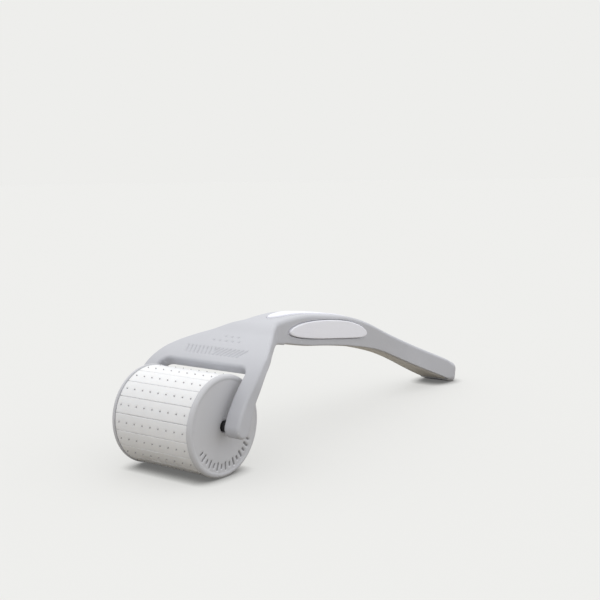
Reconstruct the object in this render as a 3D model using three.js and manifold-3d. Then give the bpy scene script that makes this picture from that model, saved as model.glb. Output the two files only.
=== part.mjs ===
// Derma roller: a forked, arched handle that carries a drum of needle strips on a steel axle.
// Millimetres. +X runs from the drum to the tail, +Y across, +Z up. The roller stands on z = 0,
// on its drum and the foot of its tail, and the origin is the middle of its footprint.
import * as THREE from "three";
import { mergeVertices } from "three/addons/utils/BufferGeometryUtils.js";
import Module from "manifold-3d";

const wasm = await Module();
wasm.setup();

// ---------- driving dimensions ----------
// needle drum
const NEEDLES_PER_ROW = 9;
const NEEDLE_ROWS = 18;
const NEEDLE_PITCH = 2;
const NEEDLE_RADIUS = 0.13;
const NEEDLE_LENGTH = 0.2; // out of the strip
const NEEDLE_ROOT = 0.25; // into the strip
const FIRST_ROW_ANGLE = 2; // degrees above the drum's front
const STRIP_END_MARGIN = 1; // last needle to strip end
const STRIP_RADIUS = 9.28;
const STRIP_DEPTH = 1.9;
const STRIP_GAP = 0.12; // between neighbouring strips
const STRIP_EDGE_BEVEL = 0.2;
const KEY_WIDTH = 1.1; // tenon that slides into the core
const KEY_DEPTH = 0.8;
const CORE_WALL = 0.9; // between its keyways and its bore
// end discs
const FLANGE_LIP = 0.02; // disc rim beyond the needle tips
const FLANGE_RIM = 0.15; // width of the disc's cylindrical rim
const FLANGE_ROUNDING = 0.7; // from the rim to the face
const DISH_DEPTH = 0.12;
const HUB_RECESS_RADIUS = 1.2;
const HUB_RECESS_DEPTH = 1;
const SPIGOT_LENGTH = 3.2;
const SPIGOT_WALL = 1.1;
const HUB_RADIUS = 2.4;
const AXLE_RADIUS = 0.5;
const AXLE_SOCKET_DEPTH = 1.9; // of each end into its arm
const AXLE_SOCKET_CLEARANCE = 0.3;
const BEARING_CLEARANCE = 0.08;
const SIDE_GAP = 1.1; // disc face to arm
const SHOULDER_RADIUS = 0.95; // boss on each arm that keeps the drum central
const SHOULDER_CLEARANCE = 0.3; // end of the boss to the floor of the hub recess
const FIT_GAP = 0.15; // between pieces that are seated in each other
// fork and head plate
const ARM_WIDTH = 3.45;
const ARM_TIP_THICKNESS = 3.6;
const ARM_THICKNESS = 2.85;
const PLATE_THICKNESS = 2.35; // at the crossbar
const HEAD_LENGTH = 22.4; // axle to neck
const HEAD_RISE = 3.95; // neck centreline above the drum
const WINDOW_CLEARANCE = 1; // crossbar edge to the drum, measured at the plate's underside
const WINDOW_CORNER = 2.1;
// handle
const HANDLE_LENGTH = 76.6; // neck to tail
const FOOT_DEPTH = 0.55; // of the tail's lower corner that is rounded off and cut flat
const NECK_HALF_WIDTH = 4.55;
const GRIP_HALF_WIDTH = 5.15;
const WAIST_HALF_WIDTH = 2.55;
const TAIL_HALF_WIDTH = 4.5;
const NECK_THICKNESS = 4.3;
const GRIP_THICKNESS = 6.8;
const WAIST_THICKNESS = 4.95;
const TAIL_THICKNESS = 5.1;
const GRIP_FILLET = 1.05;
const TAIL_FILLET = 0.8;
const PLATE_FILLET = 0.85;
const BOTTOM_FILLET = 0.4;
const TAIL_ROUNDING = 1.1;
const HANDLE_WALL = 1.7;
// underside cover and finger pads
const COVER_THICKNESS = 1.2;
const COVER_LIP = 0.5; // side wall left beside the cover
const COVER_RECESS = 0.12;
const RIB_THICKNESS = 0.9;
const RIB_HEIGHT = 1.2;
const RIB_COUNT = 4;
const PAD_DEPTH = 0.75;
const PAD_PROUD = 0.3;
const SIDE_PAD_START = 4.3; // from the neck
const SIDE_PAD_LENGTH = 27.7;
const SIDE_PAD_TOP_MARGIN = 1.15; // between its arched top and the grip's
const SIDE_PAD_BOTTOM_MARGIN = 1.65; // between its flatter bottom and the grip's underside
const SIDE_PAD_LIFT = 0.1; // of its middle above the handle's centreline
const SIDE_PAD_TILT = 0.25; // of its tail end above its middle, and of its middle above its neck end
const THUMB_PAD_START = 2.8;
const THUMB_PAD_LENGTH = 29.4;
const THUMB_PAD_HALF_WIDTH = 2.5;

// ---------- sizes that follow ----------
const flangeRadius = STRIP_RADIUS + NEEDLE_LENGTH + FLANGE_LIP;
const axleHeight = flangeRadius;
const stripHalfLength = ((NEEDLES_PER_ROW - 1) / 2) * NEEDLE_PITCH + STRIP_END_MARGIN;
const discInnerFace = stripHalfLength + FIT_GAP / 2;
const discOuterFace = discInnerFace + FLANGE_RIM + FLANGE_ROUNDING;
const hubFloor = discOuterFace - DISH_DEPTH - HUB_RECESS_DEPTH;
const armInnerFace = discOuterFace + SIDE_GAP;
const armOuterFace = armInnerFace + ARM_WIDTH;
const axleHalfLength = armInnerFace + AXLE_SOCKET_DEPTH;
const neckHeight = 2 * flangeRadius + HEAD_RISE;
const tailX = HEAD_LENGTH + HANDLE_LENGTH;
const stripSeatRadius = STRIP_RADIUS - STRIP_DEPTH;
const rowStep = (2 * Math.PI) / NEEDLE_ROWS;
const coreFlat = stripSeatRadius * Math.cos(rowStep / 2);
const keywayFloor = coreFlat - KEY_DEPTH - FIT_GAP;
const coreBore = keywayFloor - CORE_WALL;

// ---------- materials ----------
const plastic = (name, color, roughness) =>
  new THREE.MeshStandardMaterial({ name, color, roughness, metalness: 0 });
const greyPlastic = plastic("grey_plastic", 0xbfc1c6, 0.45);
const whitePlastic = plastic("white_plastic", 0xf2f3f4, 0.4);
const padRubber = plastic("pad_rubber", 0xe4e3e9, 0.7);
const corePlastic = plastic("core_plastic", 0xd9dadc, 0.5);
const steel = new THREE.MeshStandardMaterial({
  name: "steel",
  color: 0xc8cacc,
  roughness: 0.3,
  metalness: 1,
});

// ---------- solids ----------
// A closed three.js geometry as a manifold-3d solid.
function solid(geometry) {
  const bare = geometry.index ? geometry.toNonIndexed() : geometry.clone();
  bare.deleteAttribute("normal");
  bare.deleteAttribute("uv");
  const merged = mergeVertices(bare, 1e-4);
  return new wasm.Manifold(
    new wasm.Mesh({
      numProp: 3,
      vertProperties: merged.attributes.position.array,
      triVerts: new Uint32Array(merged.index.array),
    }),
  );
}

// A manifold-3d solid as a three.js geometry.
function geometryOf(body) {
  const mesh = body.getMesh();
  const geometry = new THREE.BufferGeometry();
  geometry.setAttribute("position", new THREE.BufferAttribute(mesh.vertProperties, 3));
  geometry.setIndex(new THREE.BufferAttribute(mesh.triVerts, 1));
  geometry.computeVertexNormals();
  return geometry;
}

// Joins rings of points, each with the same count, into one closed body.
function loft(rings) {
  const count = rings[0].length;
  const positions = [];
  const index = [];
  for (const ring of rings) {
    for (const p of ring) positions.push(p.x, p.y, p.z);
  }
  for (let i = 0; i + 1 < rings.length; i++) {
    for (let j = 0; j < count; j++) {
      const a = i * count + j;
      const b = i * count + ((j + 1) % count);
      index.push(a, b, b + count, a, b + count, a + count);
    }
  }
  const last = (rings.length - 1) * count;
  for (let j = 1; j + 1 < count; j++) {
    index.push(0, j + 1, j);
    index.push(last, last + j, last + j + 1);
  }
  const geometry = new THREE.BufferGeometry();
  geometry.setAttribute("position", new THREE.Float32BufferAttribute(positions, 3));
  geometry.setIndex(index);
  return geometry;
}

// A smooth curve through [x, value] pairs that never overshoots them.
function through(pairs) {
  const slope = pairs.map((pair, i) => {
    if (i === 0 || i === pairs.length - 1) return 0;
    const before = (pair[1] - pairs[i - 1][1]) / (pair[0] - pairs[i - 1][0]);
    const after = (pairs[i + 1][1] - pair[1]) / (pairs[i + 1][0] - pair[0]);
    return before * after <= 0 ? 0 : (2 * before * after) / (before + after);
  });
  return (x) => {
    if (x <= pairs[0][0]) return pairs[0][1];
    for (let i = 0; i + 1 < pairs.length; i++) {
      const [x0, y0] = pairs[i];
      const [x1, y1] = pairs[i + 1];
      if (x > x1) continue;
      const h = x1 - x0;
      const t = (x - x0) / h;
      const rise = t * t * (3 - 2 * t);
      const lead = t * (1 - t) * (1 - t);
      const tail = t * t * (1 - t);
      return y0 + (y1 - y0) * rise + h * (slope[i] * lead - slope[i + 1] * tail);
    }
    return pairs[pairs.length - 1][1];
  };
}

// ---------- the frame's spine, in the XZ plane ----------
// It leaves the axle up the arm, turns over the drum into the head plate, and arches down to the tail.
function spineTo(tailHeight) {
  const overDrum = (alongShare, riseShare) =>
    new THREE.Vector2(HEAD_LENGTH * alongShare, axleHeight + (neckHeight - axleHeight) * riseShare);
  const downHandle = (lengthShare, dropShare) =>
    new THREE.Vector2(
      HEAD_LENGTH + HANDLE_LENGTH * lengthShare,
      neckHeight - (neckHeight - tailHeight) * dropShare,
    );
  return new THREE.SplineCurve([
    overDrum(0, 0),
    overDrum(0.045, 0.18),
    overDrum(0.12, 0.395),
    overDrum(0.265, 0.66),
    overDrum(0.46, 0.83),
    overDrum(0.72, 0.945),
    downHandle(0, 0),
    downHandle(0.15, 0.0435),
    downHandle(0.35, 0.16),
    downHandle(0.575, 0.4),
    downHandle(0.83, 0.76),
    downHandle(1, 1),
  ]);
}

// The tail's height and its slope depend on each other, so they are settled in a few rounds.
let tailHeight = TAIL_THICKNESS / 2;
for (let round = 0; round < 4; round++) {
  tailHeight = (TAIL_THICKNESS / 2) * spineTo(tailHeight).getTangentAt(1).x - FOOT_DEPTH;
}
const spine = spineTo(tailHeight);
spine.arcLengthDivisions = 2000;

// The share of the spine's length at which it reaches x.
function shareAt(x) {
  let low = 0;
  let high = 1;
  for (let i = 0; i < 40; i++) {
    const middle = (low + high) / 2;
    if (spine.getPointAt(middle).x < x) low = middle;
    else high = middle;
  }
  return (low + high) / 2;
}

// The spine's point and direction at a share of its length, moved on along that direction.
function stationAt(share, onward = 0) {
  const along = spine.getTangentAt(share);
  const point = spine.getPointAt(share).addScaledVector(along, onward);
  return { point, along };
}

// A point of a cross-section: across is Y, up is square to the spine.
function sectionPoint(station, across, up) {
  return new THREE.Vector3(
    station.point.x - station.along.y * up,
    across,
    station.point.y + station.along.x * up,
  );
}

// The plate's half width narrows from the arms to the neck, and the handle swells, waists and flares.
const halfWidthAt = through([
  [HEAD_LENGTH * 0.16, armOuterFace],
  [HEAD_LENGTH * 0.36, armOuterFace - (armOuterFace - NECK_HALF_WIDTH) * 0.12],
  [HEAD_LENGTH * 0.62, armOuterFace - (armOuterFace - NECK_HALF_WIDTH) * 0.45],
  [HEAD_LENGTH * 0.9, NECK_HALF_WIDTH + (armOuterFace - NECK_HALF_WIDTH) * 0.15],
  [HEAD_LENGTH * 1.04, NECK_HALF_WIDTH],
  [HEAD_LENGTH + HANDLE_LENGTH * 0.22, GRIP_HALF_WIDTH],
  [HEAD_LENGTH + HANDLE_LENGTH * 0.37, GRIP_HALF_WIDTH * 0.98],
  [HEAD_LENGTH + HANDLE_LENGTH * 0.66, WAIST_HALF_WIDTH],
  [HEAD_LENGTH + HANDLE_LENGTH * 0.97, TAIL_HALF_WIDTH],
]);
const thicknessAt = through([
  [0, ARM_TIP_THICKNESS],
  [HEAD_LENGTH * 0.1, ARM_THICKNESS],
  [HEAD_LENGTH * 0.27, PLATE_THICKNESS],
  [HEAD_LENGTH * 0.7, PLATE_THICKNESS * 1.2],
  [HEAD_LENGTH * 0.96, NECK_THICKNESS],
  [HEAD_LENGTH + HANDLE_LENGTH * 0.16, GRIP_THICKNESS],
  [HEAD_LENGTH + HANDLE_LENGTH * 0.28, GRIP_THICKNESS],
  [HEAD_LENGTH + HANDLE_LENGTH * 0.6, WAIST_THICKNESS],
  [HEAD_LENGTH + HANDLE_LENGTH, TAIL_THICKNESS],
]);
const topFilletAt = through([
  [HEAD_LENGTH * 0.8, PLATE_FILLET],
  [HEAD_LENGTH * 1.2, GRIP_FILLET],
  [HEAD_LENGTH + HANDLE_LENGTH * 0.3, GRIP_FILLET],
  [HEAD_LENGTH + HANDLE_LENGTH * 0.6, TAIL_FILLET],
]);

// One ring of a rounded rectangle between two Y values, wound the same way at every station.
function roundedRing(station, acrossLow, acrossHigh, thickness, topFillet, bottomFillet) {
  const half = thickness / 2;
  const corner = (across, up, fillet, from, steps) => {
    const ring = [];
    for (let i = 0; i <= steps; i++) {
      const angle = from + (Math.PI / 2) * (i / steps);
      ring.push([across + fillet * Math.cos(angle), up + fillet * Math.sin(angle)]);
    }
    return ring;
  };
  const top = Math.min(topFillet, half * 0.9, (acrossHigh - acrossLow) * 0.45);
  const bottom = Math.min(bottomFillet, half * 0.9, (acrossHigh - acrossLow) * 0.45);
  return [
    ...corner(acrossHigh - top, half - top, top, 0, 4),
    ...corner(acrossLow + top, half - top, top, Math.PI / 2, 4),
    ...corner(acrossLow + bottom, bottom - half, bottom, Math.PI, 2),
    ...corner(acrossHigh - bottom, bottom - half, bottom, 1.5 * Math.PI, 2),
  ].map(([across, up]) => sectionPoint(station, across, up));
}

// A block that follows the spine between two x values; its four sides are functions of x.
function sweptBlock(xStart, xEnd, steps, acrossLow, acrossHigh, upLow, upHigh) {
  const from = shareAt(xStart);
  const to = shareAt(xEnd);
  const rings = [];
  for (let i = 0; i <= steps; i++) {
    const station = stationAt(from + ((to - from) * i) / steps);
    const x = station.point.x;
    rings.push([
      sectionPoint(station, acrossHigh(x), upHigh(x)),
      sectionPoint(station, acrossLow(x), upHigh(x)),
      sectionPoint(station, acrossLow(x), upLow(x)),
      sectionPoint(station, acrossHigh(x), upLow(x)),
    ]);
  }
  return solid(loft(rings));
}

// ---------- fork and handle ----------
// The crossbar starts where the plate's underside clears the drum.
function crossbarShare() {
  const reach = flangeRadius + NEEDLE_LENGTH + WINDOW_CLEARANCE;
  const axle = new THREE.Vector2(0, axleHeight);
  for (let share = 0; share < 0.5; share += 0.0005) {
    const station = stationAt(share);
    const under = sectionPoint(station, 0, -thicknessAt(station.point.x) / 2);
    const clear = Math.hypot(under.x - axle.x, under.z - axle.y) > reach;
    if (clear && station.point.x > HEAD_LENGTH * 0.2) return share;
  }
  throw new Error("the head plate never clears the drum");
}
const windowShare = crossbarShare();
const spineLength = spine.getLength();

function plateAndHandle() {
  const rings = [];
  const ringAt = (station, inset = 0) => {
    const x = station.point.x;
    const half = halfWidthAt(x) - inset;
    rings.push(
      roundedRing(station, -half, half, thicknessAt(x) - 2 * inset, topFilletAt(x), BOTTOM_FILLET),
    );
  };
  const steps = 46;
  const tailEnd = 1 - TAIL_ROUNDING / spineLength;
  for (let i = 0; i <= steps; i++) {
    ringAt(stationAt(windowShare + ((tailEnd - windowShare) * i) / steps));
  }
  const roundSteps = 4;
  for (let i = 1; i <= roundSteps; i++) {
    const angle = ((Math.PI / 2) * i) / roundSteps;
    const station = stationAt(tailEnd, TAIL_ROUNDING * Math.sin(angle));
    ringAt(station, TAIL_ROUNDING * 0.7 * (1 - Math.cos(angle)));
  }
  return solid(loft(rings));
}

// One arm of the fork, from its round tip to a little way into the plate.
function arm(side) {
  const tipRadius = ARM_TIP_THICKNESS / 2;
  const rings = [];
  const ringAt = (station, thickness, innerFace) => {
    const x = Math.max(station.point.x, 0);
    const low = side > 0 ? innerFace : -halfWidthAt(x);
    const high = side > 0 ? halfWidthAt(x) : -innerFace;
    rings.push(roundedRing(station, low, high, thickness, PLATE_FILLET, PLATE_FILLET * 0.7));
  };
  const tipSteps = 5;
  for (let i = 1; i <= tipSteps; i++) {
    const angle = ((Math.PI / 2) * i) / tipSteps;
    const station = stationAt(0, -tipRadius * Math.cos(angle));
    ringAt(station, 2 * tipRadius * Math.max(Math.sin(angle), 0.25), armInnerFace);
  }
  const steps = 14;
  const overlap = 1.2 / spineLength;
  const cornerStart = windowShare - WINDOW_CORNER / spineLength;
  for (let i = 1; i <= steps; i++) {
    const share = (windowShare * i) / steps;
    const into = Math.max(0, share - cornerStart) * spineLength;
    const cornerFill = WINDOW_CORNER - Math.sqrt(Math.max(0, WINDOW_CORNER ** 2 - into ** 2));
    const station = stationAt(share);
    ringAt(station, thicknessAt(station.point.x), armInnerFace - cornerFill);
  }
  const buried = stationAt(windowShare + overlap);
  ringAt(buried, thicknessAt(buried.point.x), armInnerFace - WINDOW_CORNER);
  return solid(loft(rings));
}

const padShape = (start, length, half) => (x) => {
  const middle = HEAD_LENGTH + start + length / 2;
  const share = Math.min(Math.abs((x - middle) / (length / 2)), 0.9995);
  return half * Math.sqrt(1 - share ** 2.4);
};

// A finger pad let into the handle's side, or the pocket that takes it: grow widens all but its face.
function sidePad(side, grow, face) {
  const rise = padShape(SIDE_PAD_START, SIDE_PAD_LENGTH, GRIP_THICKNESS / 2 - SIDE_PAD_TOP_MARGIN);
  const drop = padShape(SIDE_PAD_START, SIDE_PAD_LENGTH, GRIP_THICKNESS / 2 - SIDE_PAD_BOTTOM_MARGIN);
  const start = HEAD_LENGTH + SIDE_PAD_START - grow;
  const end = HEAD_LENGTH + SIDE_PAD_START + SIDE_PAD_LENGTH + grow;
  const lift = (x) => SIDE_PAD_LIFT + SIDE_PAD_TILT * ((2 * (x - start)) / (end - start) - 1);
  const inner = (x) => side * (halfWidthAt(x) - PAD_DEPTH - grow);
  const outer = (x) => side * (halfWidthAt(x) + face);
  return sweptBlock(
    start,
    end,
    28,
    side > 0 ? inner : outer,
    side > 0 ? outer : inner,
    (x) => lift(x) - drop(x) - grow,
    (x) => lift(x) + rise(x) + grow,
  );
}

// The thumb pad on top of the handle, or its pocket.
function thumbPad(grow, face) {
  const width = padShape(THUMB_PAD_START, THUMB_PAD_LENGTH, THUMB_PAD_HALF_WIDTH);
  return sweptBlock(
    HEAD_LENGTH + THUMB_PAD_START - grow,
    HEAD_LENGTH + THUMB_PAD_START + THUMB_PAD_LENGTH + grow,
    28,
    (x) => -width(x) - grow,
    (x) => width(x) + grow,
    (x) => thicknessAt(x) / 2 - PAD_DEPTH - grow,
    (x) => thicknessAt(x) / 2 + face,
  );
}

// The cover closes the hollow handle from below; grow makes the rebate that it sits in.
const coverStart = HEAD_LENGTH + 3;
const coverEnd = tailX - 3.6;
function coverPlate(grow, sink) {
  const half = (x) => halfWidthAt(x) - COVER_LIP - FIT_GAP + grow;
  return sweptBlock(
    coverStart - grow,
    coverEnd + grow,
    36,
    (x) => -half(x),
    half,
    (x) => -thicknessAt(x) / 2 + sink,
    (x) => -thicknessAt(x) / 2 + COVER_RECESS + COVER_THICKNESS + grow,
  );
}
const channelHalf = (x) => halfWidthAt(x) - HANDLE_WALL;
function handleChannel() {
  return sweptBlock(
    coverStart + HANDLE_WALL,
    coverEnd - HANDLE_WALL,
    36,
    (x) => -channelHalf(x),
    channelHalf,
    (x) => -thicknessAt(x) / 2 + COVER_RECESS,
    (x) => thicknessAt(x) / 2 - HANDLE_WALL,
  );
}

// Everything below the floor, which leaves the tail a flat foot.
const belowFloor = solid(
  new THREE.BoxGeometry(3 * tailX, 8 * armOuterFace, 20).translate(tailX / 2, 0, -10),
);

function cylinderAcross(radius, length, sides, x, y, z) {
  return solid(new THREE.CylinderGeometry(radius, radius, length, sides).translate(x, y, z));
}

function handleFrame() {
  const shoulderEnd = hubFloor + SHOULDER_CLEARANCE;
  const shoulderRoot = armInnerFace + 1;
  const socketEnd = axleHalfLength + AXLE_SOCKET_CLEARANCE;
  const span = (radius, sides, side, from, to) =>
    cylinderAcross(radius, to - from, sides, 0, (side * (from + to)) / 2, axleHeight);
  let frame = plateAndHandle();
  for (const side of [-1, 1]) {
    frame = frame.add(arm(side)).add(span(SHOULDER_RADIUS, 24, side, shoulderEnd, shoulderRoot));
  }
  const cuts = [
    sidePad(1, FIT_GAP, PAD_PROUD * 3),
    sidePad(-1, FIT_GAP, PAD_PROUD * 3),
    thumbPad(FIT_GAP, PAD_PROUD * 3),
    coverPlate(FIT_GAP, -1),
    handleChannel(),
    belowFloor,
  ];
  for (const side of [-1, 1]) {
    cuts.push(span(AXLE_RADIUS + FIT_GAP, 20, side, shoulderEnd - 1, socketEnd));
  }
  for (const cut of cuts) frame = frame.subtract(cut);
  return frame;
}

// The cover carries cross ribs that locate it between the channel's walls.
function undersideCover() {
  let cover = coverPlate(0, COVER_RECESS);
  const first = coverStart + HANDLE_WALL + 2;
  const last = coverEnd - HANDLE_WALL - 2;
  for (let i = 0; i < RIB_COUNT; i++) {
    const x = first + ((last - first) * i) / (RIB_COUNT - 1);
    const half = (at) => channelHalf(at) - FIT_GAP;
    const rib = sweptBlock(
      x - RIB_THICKNESS / 2,
      x + RIB_THICKNESS / 2,
      1,
      (at) => -half(at),
      half,
      (at) => -thicknessAt(at) / 2 + COVER_RECESS + COVER_THICKNESS / 2,
      (at) => -thicknessAt(at) / 2 + COVER_RECESS + COVER_THICKNESS + RIB_HEIGHT,
    );
    cover = cover.add(rib);
  }
  return cover.subtract(belowFloor);
}

// ---------- drum ----------
// Turns a shape drawn with +Y as the drum's radius into a bar along the drum's axis.
function barAcross(shape, length) {
  const options = { depth: length, bevelEnabled: false, curveSegments: 10 };
  const geometry = new THREE.ExtrudeGeometry(shape, options);
  return geometry.translate(0, 0, -length / 2).rotateX(Math.PI / 2);
}

// One strip of the drum's skin with its row of needles; it lies along Y with its needles up.
function needleStrip() {
  const halfAngle = rowStep / 2 - STRIP_GAP / 2 / STRIP_RADIUS;
  const bevelAngle = STRIP_EDGE_BEVEL / STRIP_RADIUS;
  const edge = (radius, angle) => [radius * Math.sin(angle), radius * Math.cos(angle)];
  const seat = coreFlat + FIT_GAP / 2;
  const seatHalf = seat * Math.tan(rowStep / 2) - STRIP_GAP / 2;
  const shape = new THREE.Shape();
  shape.moveTo(-seatHalf, seat);
  shape.lineTo(-KEY_WIDTH / 2, seat);
  shape.lineTo(-KEY_WIDTH / 2, seat - KEY_DEPTH);
  shape.lineTo(KEY_WIDTH / 2, seat - KEY_DEPTH);
  shape.lineTo(KEY_WIDTH / 2, seat);
  shape.lineTo(seatHalf, seat);
  shape.lineTo(...edge(STRIP_RADIUS - STRIP_EDGE_BEVEL, halfAngle));
  shape.lineTo(...edge(STRIP_RADIUS, halfAngle - bevelAngle));
  const arcHalf = halfAngle - bevelAngle;
  shape.absarc(0, 0, STRIP_RADIUS, Math.PI / 2 - arcHalf, Math.PI / 2 + arcHalf, false);
  shape.lineTo(...edge(STRIP_RADIUS - STRIP_EDGE_BEVEL, -halfAngle));
  shape.closePath();
  let strip = solid(barAcross(shape, 2 * stripHalfLength));
  const height = NEEDLE_LENGTH + NEEDLE_ROOT;
  const foot = STRIP_RADIUS - NEEDLE_ROOT;
  for (let i = 0; i < NEEDLES_PER_ROW; i++) {
    const y = (i - (NEEDLES_PER_ROW - 1) / 2) * NEEDLE_PITCH;
    const needle = new THREE.ConeGeometry(NEEDLE_RADIUS, height, 6);
    needle.rotateX(Math.PI / 2).translate(0, y, foot + height / 2);
    strip = strip.add(solid(needle));
  }
  return strip;
}

// A tube with one flat and one keyway for each strip, and a bore that takes the end discs.
function drumCore() {
  const shape = new THREE.Shape();
  const groove = KEY_WIDTH / 2 + FIT_GAP;
  const corner = coreFlat * Math.tan(rowStep / 2);
  for (let row = 0; row < NEEDLE_ROWS; row++) {
    const angle = row * rowStep;
    const place = (across, out) => [
      across * Math.cos(angle) - out * Math.sin(angle),
      across * Math.sin(angle) + out * Math.cos(angle),
    ];
    const outline = [
      [corner, coreFlat],
      [groove, coreFlat],
      [groove, keywayFloor],
      [-groove, keywayFloor],
      [-groove, coreFlat],
    ];
    outline.forEach(([across, out], i) => {
      if (row === 0 && i === 0) shape.moveTo(...place(across, out));
      else shape.lineTo(...place(across, out));
    });
  }
  shape.closePath();
  const bore = new THREE.Path();
  bore.absarc(0, 0, coreBore, 0, 2 * Math.PI, true);
  shape.holes.push(bore);
  return barAcross(shape, 2 * (discInnerFace - FIT_GAP));
}

// A dished end disc: rim and bevel, hub recess, bearing bore, and a spigot that fits the core.
function endDisc(side) {
  const bearing = AXLE_RADIUS + BEARING_CLEARANCE;
  const spigot = coreBore - FIT_GAP;
  const spigotEnd = discInnerFace - SPIGOT_LENGTH;
  const web = discInnerFace - 0.4;
  const face = discOuterFace;
  const rimArc = [];
  const arcSteps = 3;
  for (let i = 0; i <= arcSteps; i++) {
    const angle = ((Math.PI / 2) * i) / arcSteps;
    rimArc.push([
      flangeRadius - FLANGE_ROUNDING * (1 - Math.cos(angle)),
      face - FLANGE_ROUNDING * (1 - Math.sin(angle)),
    ]);
  }
  const profile = [
    [bearing, spigotEnd],
    [HUB_RADIUS, spigotEnd],
    [HUB_RADIUS, web],
    [spigot - SPIGOT_WALL, web],
    [spigot - SPIGOT_WALL, spigotEnd],
    [spigot, spigotEnd],
    [spigot, discInnerFace],
    [flangeRadius, discInnerFace],
    ...rimArc,
    [HUB_RECESS_RADIUS, face - DISH_DEPTH],
    [HUB_RECESS_RADIUS, hubFloor],
    [bearing, hubFloor],
    [bearing, spigotEnd],
  ].map(([radius, along]) => new THREE.Vector2(radius, along));
  const geometry = new THREE.LatheGeometry(profile, 48);
  if (side < 0) geometry.rotateX(Math.PI);
  return geometry;
}

// ---------- assembly ----------
const assembly = new THREE.Group();

function addPart(name, geometry, material, parent = assembly) {
  const mesh = new THREE.Mesh(geometry, material);
  mesh.name = name;
  parent.add(mesh);
  return mesh;
}

addPart("handle_frame", geometryOf(handleFrame()), greyPlastic);
addPart("underside_cover", geometryOf(undersideCover()), greyPlastic);
addPart("thumb_pad", geometryOf(thumbPad(0, PAD_PROUD)), padRubber);
addPart("side_pad_left", geometryOf(sidePad(1, 0, PAD_PROUD)), padRubber);
addPart("side_pad_right", geometryOf(sidePad(-1, 0, PAD_PROUD)), padRubber);

const axle = addPart(
  "axle",
  new THREE.CylinderGeometry(AXLE_RADIUS, AXLE_RADIUS, 2 * axleHalfLength, 24),
  steel,
);
axle.position.set(0, 0, axleHeight);

const drum = new THREE.Group();
drum.position.set(0, 0, axleHeight);
assembly.add(drum);
addPart("drum_core", drumCore(), corePlastic, drum);
addPart("end_disc_left", endDisc(1), greyPlastic, drum);
addPart("end_disc_right", endDisc(-1), greyPlastic, drum);

const stripGeometry = geometryOf(needleStrip());
const firstRow = -Math.PI / 2 + THREE.MathUtils.degToRad(FIRST_ROW_ANGLE);
for (let row = 0; row < NEEDLE_ROWS; row++) {
  const number = String(row + 1).padStart(2, "0");
  const strip = addPart("needle_strip_" + number, stripGeometry, whitePlastic, drum);
  strip.rotation.y = firstRow + row * rowStep;
}
drum.getObjectByName("drum_core").rotation.y = firstRow;

// The origin goes to the middle of the footprint.
assembly.updateMatrixWorld(true);
const extent = new THREE.Box3().setFromObject(assembly, true);
assembly.position.x = -(extent.min.x + extent.max.x) / 2;

const roller = new THREE.Group();
roller.add(assembly);

export default roller;
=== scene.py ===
"""A derma roller: the visual model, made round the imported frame.

The forked handle, its cover, its pads, the end discs and the needle strips are moulded pieces. Each is
described as a distance field in millimetres, with a radius for every edge, and meshed where the field is
zero. Millimetres are measured from the middle of the drum's axle, except z, which is measured from the floor.
"""
import math

import bmesh
import bpy
import numpy as np
import openvdb
from mathutils import Matrix, Vector


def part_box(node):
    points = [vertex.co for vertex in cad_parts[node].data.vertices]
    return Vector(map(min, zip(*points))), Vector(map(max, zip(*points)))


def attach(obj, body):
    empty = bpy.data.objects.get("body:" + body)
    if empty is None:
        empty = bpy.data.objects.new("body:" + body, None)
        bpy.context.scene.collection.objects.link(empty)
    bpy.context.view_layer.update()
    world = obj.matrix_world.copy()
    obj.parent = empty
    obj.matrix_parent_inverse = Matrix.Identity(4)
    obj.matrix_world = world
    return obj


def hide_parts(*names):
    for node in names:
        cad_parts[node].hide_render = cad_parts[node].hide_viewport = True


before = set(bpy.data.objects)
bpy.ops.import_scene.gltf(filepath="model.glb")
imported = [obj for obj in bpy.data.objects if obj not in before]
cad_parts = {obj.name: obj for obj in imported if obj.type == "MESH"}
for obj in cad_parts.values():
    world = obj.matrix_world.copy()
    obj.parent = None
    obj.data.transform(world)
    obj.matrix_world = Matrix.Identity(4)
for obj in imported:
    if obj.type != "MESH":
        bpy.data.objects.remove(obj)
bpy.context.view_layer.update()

MM = 0.001

# ---------------------------------------------------------------- sizes read from the frame, in mm
disc_low, disc_high = (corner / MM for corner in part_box("end_disc_left"))
frame_low, frame_high = (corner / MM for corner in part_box("handle_frame"))
strip_low, strip_high = (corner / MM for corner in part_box("needle_strip_01"))
axle_low, axle_high = (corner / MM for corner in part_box("axle"))

FLANGE_RADIUS = (disc_high.z - disc_low.z) / 2
AXLE_X = (disc_low.x + disc_high.x) / 2
AXLE_HEIGHT = (disc_low.z + disc_high.z) / 2
DISC_OUTER_FACE = disc_high.y
ARM_OUTER_FACE = frame_high.y
STRIP_HALF_LENGTH = strip_high.y
AXLE_RADIUS = (axle_high.z - axle_low.z) / 2
AXLE_END = axle_high.y

# ---------------------------------------------------------------- driving sizes, in mm
FIT_GAP = 0.15
SEAM = 0.09
# handle
HEAD_LENGTH = 22.4
HEAD_RISE = 3.95
HANDLE_LENGTH = 76.6
FOOT_DEPTH = 0.55
ARM_WIDTH = 3.45
ARM_TIP_THICKNESS = 3.6
ARM_THICKNESS = 2.85
PLATE_THICKNESS = 2.35
NECK_THICKNESS = 4.3
GRIP_THICKNESS = 6.8
WAIST_THICKNESS = 4.95
TAIL_THICKNESS = 5.1
NECK_HALF_WIDTH = 4.55
GRIP_HALF_WIDTH = 5.15
WAIST_HALF_WIDTH = 2.55
TAIL_HALF_WIDTH = 4.5
WINDOW_CLEARANCE = 1.0
WINDOW_CORNER = 2.1
PLATE_ROUNDING = 0.95
GRIP_ROUNDING = 0.8
TAIL_ROUNDING = 0.8
UNDERSIDE_ROUNDING = 0.45
WINDOW_ROUNDING = 0.55
ARM_INSIDE_ROUNDING = 0.45
TAIL_END_ROUNDING = 1.5
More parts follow.
